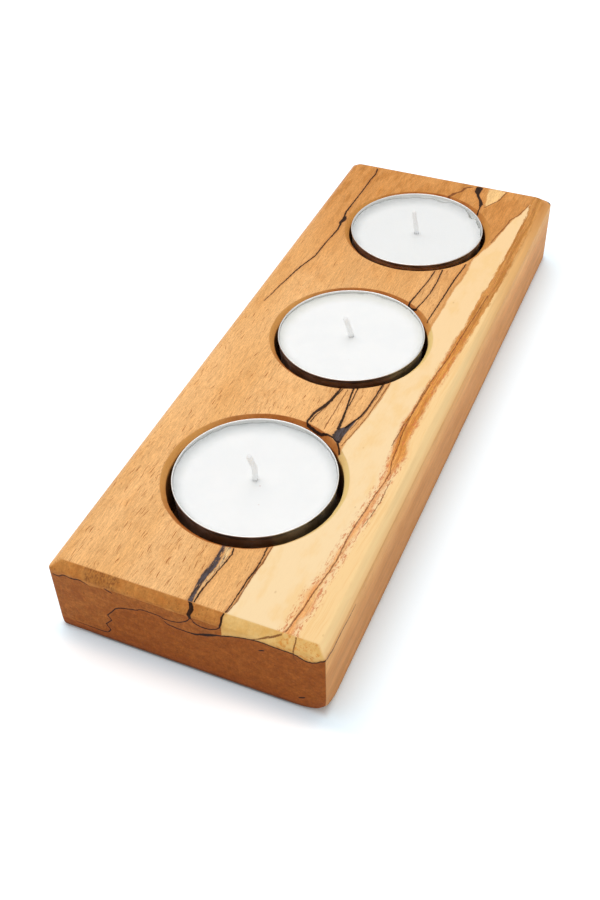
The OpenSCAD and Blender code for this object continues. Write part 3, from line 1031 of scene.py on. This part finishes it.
def steps_between(start, end, longest):
    """Values from start up to but without end, no further apart than longest."""
    count = max(1, math.ceil(abs(end - start) / longest))
    return [start + (end - start) * i / count for i in range(count)]


def bridge(builder, lower, upper):
    """Faces between two rings with as many vertices."""
    for i, vertex in enumerate(lower):
        after = (i + 1) % len(lower)
        builder.faces.new((vertex, lower[after], upper[after], upper[i]))


def close_ring(builder, ring, middle):
    """Faces from a ring to one vertex in its middle."""
    for i, vertex in enumerate(ring):
        builder.faces.new((vertex, ring[(i + 1) % len(ring)], middle))


def corner_radius(name, height):
    """An upright corner is rubbed rounder where it meets the underside and the top."""
    foot, waist, brim = CORNER_RADII[name]
    low = max(0.0, 1 - height / (3 * BASE_EASING)) ** 2
    high = min(1.0, max(0.0, (height - HEIGHT + CHAMFER) / CHAMFER))
    return waist + (foot - waist) * low + (brim - waist) * high


def outline(inset, height, across_shares, along_shares):
    """The block's outline, inset, as (points, keys); keys name the straight places."""
    edge_x, edge_y = HALF_WIDTH - inset, HALF_LENGTH - inset
    half_x, half_y = edge_x - WIDEST_CORNER, edge_y - WIDEST_CORNER
    across, along = list(enumerate(across_shares, 1)), list(enumerate(along_shares, 1))
    last_i, last_j = len(across) + 1, len(along) + 1
    near = [((share * half_x, -edge_y), (i, 0)) for i, share in across]
    right = [((edge_x, share * half_y), (last_i, j)) for j, share in along]
    far = [((share * half_x, edge_y), (i, last_j)) for i, share in reversed(across)]
    left = [((-edge_x, share * half_y), (0, j)) for j, share in reversed(along)]
    marks = []
    for side, name, sign_x, sign_y, start in (
        (near, "near right", 1, -1, -90), (right, "far right", 1, 1, 0),
        (far, "far left", -1, 1, 90), (left, "near left", -1, -1, 180),
    ):
        radius = corner_radius(name, height)
        centre = (sign_x * (edge_x - radius), sign_y * (edge_y - radius))
        arc = arc_points(centre, radius, start, start + 90, CORNER_STEPS - 2)
        marks += side + [(point, (name, step)) for step, point in enumerate(arc, 1)]
    return zip(*marks)


def wall_profile():
    """(inset, height) of the block's wall, from the eased foot up to the edge of the top."""
    profile = []
    for step in range(7):
        angle = math.radians(15 * step)
        profile.append((BASE_EASING * (1 - math.sin(angle)), BASE_EASING * (1 - math.cos(angle))))
    shoulder, brim = (0, HEIGHT - CHAMFER), (CHAMFER, HEIGHT)
    for height in steps_between(BASE_EASING, HEIGHT - CHAMFER - EDGE_SOFTNESS, 1.5)[1:]:
        profile.append((0, height))
    profile += eased_corner((0, 0), shoulder, brim, EDGE_SOFTNESS)
    profile.append((CHAMFER / 2, HEIGHT - CHAMFER / 2))
    profile += eased_corner(shoulder, brim, (HALF_WIDTH, HEIGHT), EDGE_SOFTNESS)
    return profile


def fill_level(builder, ring, keys, height, shares, cells):
    """Fills a level ring with a grid, leaving out the cells; returns the grid."""
    across_shares, along_shares = shares
    grid = dict(zip(keys, ring))
    inner_x, inner_y = abs(grid[(1, 0)].co.x), abs(grid[(0, 1)].co.y)
    last_i, last_j = len(across_shares) + 1, len(along_shares) + 1
    for i, across in enumerate(across_shares, 1):
        for j, along in enumerate(along_shares, 1):
            if not any(low < j < high for low, high in cells):
                grid[(i, j)] = builder.verts.new((across * inner_x, along * inner_y, height))
    for i in range(last_i):
        for j in range(last_j):
            square = [grid.get(key) for key in ((i, j), (i + 1, j), (i + 1, j + 1), (i, j + 1))]
            if None not in square and not any(low <= j < high for low, high in cells):
                builder.faces.new(square)
    corners = (
        ("near left", (0, 1), (1, 0), (1, 1)),
        ("near right", (last_i - 1, 0), (last_i, 1), (last_i - 1, 1)),
        ("far right", (last_i, last_j - 1), (last_i - 1, last_j), (last_i - 1, last_j - 1)),
        ("far left", (1, last_j), (0, last_j - 1), (1, last_j - 1)),
    )
    for name, first, last, inner in corners:
        arc = [grid[(name, step)] for step in range(1, CORNER_STEPS)]
        builder.faces.new([grid[first], *arc, grid[last], grid[inner]])
    return grid


def build_bore(builder, index, border):
    """Runs the border of a cell in the top down to a mouth, wall, floor and dimple."""
    centre_x, centre_y = BORE_PLACES[index]
    bore = BORE_RADII[index]
    mouth = bore + MOUTH_CHAMFER
    angles = [math.atan2(vertex.co.y - centre_y, vertex.co.x - centre_x) for vertex in border]

    def circle(radius, height, wear=0.0):
        made = []
        for angle in angles:
            direction = Vector((math.cos(angle), math.sin(angle), 0))
            rough = wear * noise.noise(direction * 6 + Vector((0, 0, index * 9.1)))
            rough += 0.4 * wear * noise.noise(direction * 31 + Vector((0, 0, index * 5.3)))
            made.append(builder.verts.new((
                centre_x + direction.x * (radius + rough),
                centre_y + direction.y * (radius + rough),
                height,
            )))
        return made

    section = eased_corner((mouth + 3, HEIGHT), (mouth, HEIGHT), (bore, MOUTH_FOOT), MOUTH_EASING)
    section += eased_corner((mouth, HEIGHT), (bore, MOUTH_FOOT), (bore, 0), MOUTH_EASING)
    levels = [circle(radius, height, MOUTH_WEAR) for radius, height in section]
    for height in steps_between(MOUTH_FOOT - MOUTH_EASING, BORE_FLOOR, 2.0)[1:]:
        levels.append(circle(bore, height))
    for radius, height in (
        (bore, BORE_FLOOR + 0.2), (bore - 0.2, BORE_FLOOR),
        (14.0, BORE_FLOOR), (8.0, BORE_FLOOR), (DIMPLE_RADIUS, BORE_FLOOR),
        (DIMPLE_RADIUS / 2, BORE_FLOOR - DIMPLE_RADIUS / 4),
    ):
        levels.append(circle(radius, height))
    between = [
        [builder.verts.new(a.co.lerp(b.co, share)) for a, b in zip(border, levels[0])]
        for share in (0.25, 0.5, 0.7, 0.85, 0.95)
    ]
    rings = [border, *between, *levels]
    for upper, lower in zip(rings, rings[1:]):
        bridge(builder, upper, lower)
    point = builder.verts.new((centre_x, centre_y, BORE_FLOOR - DIMPLE_RADIUS / 2))
    close_ring(builder, rings[-1], point)


def build_block(material):
    half_x = HALF_WIDTH - CHAMFER - EDGE_SOFTNESS - WIDEST_CORNER
    half_y = HALF_LENGTH - CHAMFER - EDGE_SOFTNESS - WIDEST_CORNER
    across_shares = [v / half_x for v in steps_between(-half_x, half_x, GRID_STEP)] + [1.0]
    stops = [-half_y]
    for _, centre in BORE_PLACES:
        stops += [centre - CELL_HALF, centre + CELL_HALF]
    stops.append(half_y)
    rows, starts = [], []
    for start, end in zip(stops, stops[1:]):
        starts.append(len(rows) + 1)
        rows += steps_between(start, end, GRID_STEP)
    rows.append(half_y)
    along_shares = [v / half_y for v in rows]
    shares = (across_shares, along_shares)
    cells = list(zip(starts[1::2], starts[2::2]))

    builder = bmesh.new()
    rings = []
    for inset, height in wall_profile():
        points, keys = outline(inset, height, across_shares, along_shares)
        rings.append([builder.verts.new((*point, height)) for point in points])
    for lower, upper in zip(rings, rings[1:]):
        bridge(builder, lower, upper)
    grid = fill_level(builder, rings[-1], keys, HEIGHT, shares, cells)
    fill_level(builder, rings[0], keys, 0, shares, [])

    last = len(across_shares) + 1
    for index, (low, high) in enumerate(cells):
        border = [(i, low) for i in range(last + 1)]
        border += [(last, j) for j in range(low + 1, high + 1)]
        border += [(i, high) for i in range(last - 1, -1, -1)]
        border += [(0, j) for j in range(high - 1, low, -1)]
        build_bore(builder, index, [grid[key] for key in border])

    # Knocked lower corner at the near right
    corner = Vector((HALF_WIDTH, -HALF_LENGTH, 0))
    inward = Vector((-1, 1, 1)).normalized()
    for vertex in builder.verts:
        closeness = max(0.0, 1 - (vertex.co - corner).length / WEAR_REACH)
        vertex.co += inward * WEAR_DEPTH * closeness ** 2

    finish_mesh("spalted_block", builder, material, "holder", "holder_block")


def lathe(builder, index, section, change, closed):
    """Turns a section of (radius, height) round a tealight's axis, changed by the angle."""
    centre_x, centre_y = TEALIGHT_PLACES[index]
    rings = []
    for radius, height in section:
        if radius == 0:
            rings.append([builder.verts.new((centre_x, centre_y, BORE_FLOOR + height))])
            continue
        ring = []
        for step in range(TURN_STEPS):
            angle = 2 * math.pi * step / TURN_STEPS
            r, h = change(radius, height, angle)
            ring.append(builder.verts.new(
                (centre_x + r * math.cos(angle), centre_y + r * math.sin(angle), BORE_FLOOR + h)
            ))
        rings.append(ring)
    pairs = list(zip(rings, rings[1:]))
    if closed:
        pairs.append((rings[-1], rings[0]))
    for lower, upper in pairs:
        if len(lower) == 1:
            close_ring(builder, upper, lower[0])
        elif len(upper) == 1:
            close_ring(builder, lower, upper[0])
        else:
            bridge(builder, lower, upper)


def build_cup(index, material):
    foot_centre = (WALL_FOOT_RADIUS - FOOT_RADIUS, FOOT_RADIUS)
    wall_inside = WALL_TOP_RADIUS - CUP_SHEET
    wall_reach = WALL_TOP_RADIUS - WALL_FOOT_RADIUS
    wall_top = BEAD_HEIGHT - RIM_RADIUS
    section = [(0, PANEL_RISE), (6, PANEL_RISE), (PANEL_RADIUS - 0.1, PANEL_RISE)]
    section += [(PANEL_RADIUS + 0.2, PANEL_RISE - 0.15), (PANEL_RADIUS + PANEL_RISE - 0.1, 0.06)]
    section += [(PANEL_RADIUS + PANEL_RISE + 0.15, 0)]
    section += arc_points(foot_centre, FOOT_RADIUS, -90, 0, 8)
    for share in (0.2, 0.4, 0.6, 0.8, 0.9):
        height = FOOT_RADIUS + (wall_top - FOOT_RADIUS) * share
        section.append((WALL_FOOT_RADIUS + wall_reach * share, height))
    section += arc_points((RIM_OUTSIDE - RIM_RADIUS, BEAD_HEIGHT), RIM_RADIUS, -80, 190, 16)
    for share in (0.1, 0.3, 0.6, 0.8):
        height = wall_top - (wall_top - FOOT_RADIUS) * share
        section.append((wall_inside - wall_reach * share, height))
    section += arc_points(foot_centre, FOOT_RADIUS - CUP_SHEET, 0, -90, 8)
    section += [(PANEL_RADIUS + PANEL_RISE + 0.3, CUP_SHEET), (PANEL_RADIUS + 0.25, PANEL_TOP - 0.1)]
    section += [(PANEL_RADIUS - 0.1, PANEL_TOP), (0, PANEL_TOP)]

    def dents(radius, height, angle):
        share = max(0.0, height / CUP_HEIGHT)
        direction = Vector((math.cos(angle), math.sin(angle), index * 3.7))
        push = 0.05 * noise.noise(direction * 2.2) + 0.02 * noise.noise(direction * 9)
        return radius + (push - 0.03) * share, height

    builder = bmesh.new()
    lathe(builder, index, section, dents, closed=False)
    number = index + 1
    body = f"tealight_cup_{number}"
    finish_mesh(f"cup_shell_{number}", builder, material, body, f"cup_{number}")


def wax_radius(height):
    """Radius of the slug at a height, just clear of the drafted wall."""
    return WALL_TOP_RADIUS - CUP_SHEET - WAX_CLEARANCE - (BEAD_HEIGHT - height) * WALL_SLOPE


def crumble(index, angle):
    """How far the edge of a slug has crumbled back; the far one has lost most."""
    around = Vector((math.cos(angle), math.sin(angle), index * 7.7))
    share = max(0.0, math.cos(angle - CRUMBLE_HEADING)) if index == 2 else 0.04
    bites = max(0.0, noise.noise(around * 5) + 0.35) + 0.6 * max(0.0, noise.noise(around * 14))
    return CRUMBLE_DEPTH * share * bites


def climb(index, angle):
    """How high the wax creeps up the wall: least at the rear, more all round the rest."""
    low, high = WAX_CLIMBS[index]
    frontness = (1 - math.cos(angle - REAR_HEADING)) / 2
    return low + (high - low) * min(1.0, 2.2 * frontness) ** 1.5


def build_wax(index, material):
    top = CUP_HEIGHT - WAX_DEPTHS[index]
    brim, foot = wax_radius(top), wax_radius(FOOT_RADIUS)
    creep_of = {
        brim - 0.2 * step ** 1.3: share
        for step, share in enumerate(CREEP_SHARES)
    }
    section = [(RECESS_RADIUS, PANEL_TOP), (foot - WAX_FOOT_CUT, PANEL_TOP)]
    section += [(foot, PANEL_TOP + WAX_FOOT_CUT)]
    section += [(wax_radius(height), height) for height in (6.0, 10.0, top - 0.5)]
    section += [(radius, top) for radius in (*creep_of, *WAX_TOP_RADII, WICK_HOLE_BRIM)]
    section += [(WICK_HOLE, top - WICK_HOLE_TAPER), (WICK_HOLE, WICK_HOLE_FOOT)]
    section += [NECK_TOP, NECK_ROOT, (RECESS_RADIUS, RECESS_TOP)]

    def worn(radius, height, angle):
        if height < top - 0.05:
            return radius, height
        lost = crumble(index, angle)
        share = creep_of.get(radius, 0.0)
        rise = share * climb(index, angle) * max(0.0, 1 - 1.4 * lost)
        direction = Vector((math.cos(angle) * radius, math.sin(angle) * radius, index * 17.3))
        dip = DIP_DEPTH * max(0.0, 1 - radius / DIP_RADIUS)
        swell = 0.05 * noise.noise(direction * 0.16) + 0.015 * noise.noise(direction * 0.7)
        meniscus = MENISCUS_HEIGHT * math.exp((WICK_HOLE_BRIM - radius) / MENISCUS_REACH)
        edge_share = (radius - WAX_EDGE_START) / (brim - WAX_EDGE_START)
        inward = lost * max(0.0, min(1.0, edge_share))
        rise += share * 0.3 * (noise.noise(direction * 0.35) + 0.3 * noise.noise(direction * 1.6))
        rise = min(max(rise, 0.0), WAX_DEPTHS[index] - 0.4)
        slack = wax_radius(top + rise) - brim if share == 1.0 else 0.0
        return radius + slack - inward, height - dip + swell + meniscus + rise

    builder = bmesh.new()
    lathe(builder, index, section, worn, closed=True)
    number = index + 1
    body = f"candle_{number}"
    finish_mesh(f"wax_slug_{number}", builder, material, body, f"wax_{number}")


def wick_path(index):
    """Middle and tilt of the wick at even steps, as in the CAD: upright, one bend, a lean."""
    top = CUP_HEIGHT - WAX_DEPTHS[index] - CAD_WAX_DIP
    lean = math.radians(WICK_LEANS[index])
    stand = WICK_STANDS[index]
    start = top + stand * WICK_UPRIGHT_SHARES[index]
    tip = stand * (1 - WICK_UPRIGHT_SHARES[index]) - WICK_BEND * lean
    bend_end = start + WICK_BEND * lean
    length = bend_end + tip - PANEL_TOP
    for step in range(WICK_STEPS + 1):
        reached = PANEL_TOP + length * step / WICK_STEPS
        tilt = min(max(reached - start, 0.0) / WICK_BEND, lean)
        before, rest = min(reached, start), max(reached - bend_end, 0.0)
        yield (
            WICK_BEND * (1 - math.cos(tilt)) + rest * math.sin(tilt),
            before + WICK_BEND * math.sin(tilt) + rest * math.cos(tilt),
            tilt,
        )


def build_wick(index, material):
    """A round wick with a braid of crossing ridges and a trimmed tip."""
    builder = bmesh.new()
    heading = math.radians(WICK_HEADINGS[index])
    centre_x, centre_y = TEALIGHT_PLACES[index]
    rings = []
    for level, (away, height, tilt) in enumerate(wick_path(index)):
        ring = []
        trimmed = max(0, level - WICK_STEPS + TRIMMED_STEPS)
        taper = 1.0 - 0.04 * trimmed ** 1.5
        for side in range(WICK_SIDES):
            turn = 2 * math.pi * side / WICK_SIDES
            strand, twist = BRAID_STRANDS * turn, BRAID_TWIST * level
            braid = math.cos(strand + twist) * math.cos(strand - twist)
            radius = WICK_RADIUS * (0.95 + BRAID_DEPTH * braid) * taper
            out, aside = radius * math.cos(turn), radius * math.sin(turn)
            forth = away + out * math.cos(tilt)
            ring.append(builder.verts.new((
                centre_x + forth * math.cos(heading) - aside * math.sin(heading),
                centre_y + forth * math.sin(heading) + aside * math.cos(heading),
                BORE_FLOOR + height - out * math.sin(tilt),
            )))
        rings.append(ring)
    for lower, upper in zip(rings, rings[1:]):
        bridge(builder, lower, upper)
    for ring in (rings[0], rings[-1]):
        middle = sum((vertex.co for vertex in ring), Vector()) / WICK_SIDES
        close_ring(builder, ring, builder.verts.new(middle))
    number = index + 1
    body = f"candle_{number}"
    finish_mesh(f"braided_wick_{number}", builder, material, body, f"wick_{number}")


# Floor and light

def lifted_floor(place):
    """White where it is seen. Near the block the seen floor gets painted light that lightens
    the block's shadow and cools the wood's tint out of it, and none at the contact line,
    which deepens the shade there.
    """
    x, y, _ = split(place)
    rays = node(place, "ShaderNodeLightPath").outputs
    seen = most(*(Value(rays[f"Is {kind} Ray"]) for kind in ("Camera", "Glossy", "Transmission")))
    beyond = most(abs(x) - HALF_WIDTH, abs(y) - HALF_LENGTH)
    shadow_lift = painted(
        blend(ramp(beyond, 2.0, 16.0), (0.18, 0.36, 0.47, 1), (0.25, 0.35, 0.43, 1)),
        (
            ramp(y, -HALF_LENGTH - 1.0, -HALF_LENGTH - 6.0),
            blend(ramp(x, 0.0, 30.0), (0.445, 0.49, 0.51, 1), (0.6, 0.65, 0.67, 1)),
        ),
        (ramp(beyond, 120.0, 900.0), (0.8, 0.82, 0.83, 1)),
    )
    # Painted contact shadow on the floor along the foot of the near end
    foot_shadow = (
        ramp(beyond, 0.2, -0.5, 0.0, 0.85)
        * ramp(y, -HALF_LENGTH + 2.0, -HALF_LENGTH + 0.5)
        * ramp(abs(x), HALF_WIDTH - 4.0, HALF_WIDTH - 12.0)
    )
    return {
        "Base Color": blend(foot_shadow, (0.92, 0.92, 0.92, 1), (0.2, 0.15, 0.12, 1)),
        "Roughness": 0.9,
        "Specular IOR Level": 0.0,
        "Emission Color": (1, 1, 1, 1),
        "Emission Strength": seen * 0.02,
        # no lift at the contact line: painted contact shade
        "lift": blend(seen * ramp(beyond, -1.0, 1.0), (0, 0, 0, 1), shadow_lift),
    }


def build_stage():
    scene = bpy.context.scene
    scene.view_settings.view_transform = "Standard"

    mesh = bpy.data.meshes.new("floor")
    corners = ((-1, -1), (1, -1), (1, 1), (-1, 1))
    places = [(x * FLOOR_REACH, y * FLOOR_REACH, 0) for x, y in corners]
    mesh.from_pydata(places, [], [(0, 1, 2, 3)])
    mesh.materials.append(make_material("floor", lifted_floor))
    floor = bpy.data.objects.new("floor", mesh)
    floor.location.z = -FLOOR_GAP
    scene.collection.objects.link(floor)

    world = bpy.data.worlds.new("studio")
    scene.world = world
    world.use_nodes = True
    tree = world.node_tree
    tree.nodes.clear()
    background = tree.nodes.new("ShaderNodeBackground")
    output = tree.nodes.new("ShaderNodeOutputWorld")
    path = tree.nodes.new("ShaderNodeLightPath")
    strength = ramp(Value(path.outputs["Is Camera Ray"]), 0.0, 1.0, WORLD_LIGHT, 1.0, smooth=False)
    put(background.inputs["Strength"], strength)
    background.inputs["Color"].default_value = (1, 1, 1, 1)
    tree.links.new(background.outputs[0], output.inputs["Surface"])

    light = bpy.data.lights.new("key", "AREA")
    light.shape = "SQUARE"
    light.size, light.energy = KEY_SIZE, KEY_POWER
    lamp = bpy.data.objects.new("key", light)
    lamp.location = KEY_PLACE
    lamp.rotation_euler = (-KEY_PLACE).to_track_quat("-Z", "Y").to_euler()
    scene.collection.objects.link(lamp)


make_camera()
build_stage()

beech = make_material("spalted_beech", spalted_beech)
aluminium = make_material("cup_aluminium", drawn_aluminium)
tin = make_material("tinplate", tinplate)
wax = make_material("paraffin_wax", paraffin)
cotton = make_material("waxed_cotton", waxed_cotton)

build_block(beech)
for tealight in range(3):
    build_cup(tealight, aluminium)
    build_wax(tealight, wax)
    build_wick(tealight, cotton)
    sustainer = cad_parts[f"wick_sustainer_{tealight + 1}"]
    sustainer.data.materials.clear()
    sustainer.data.materials.append(tin)
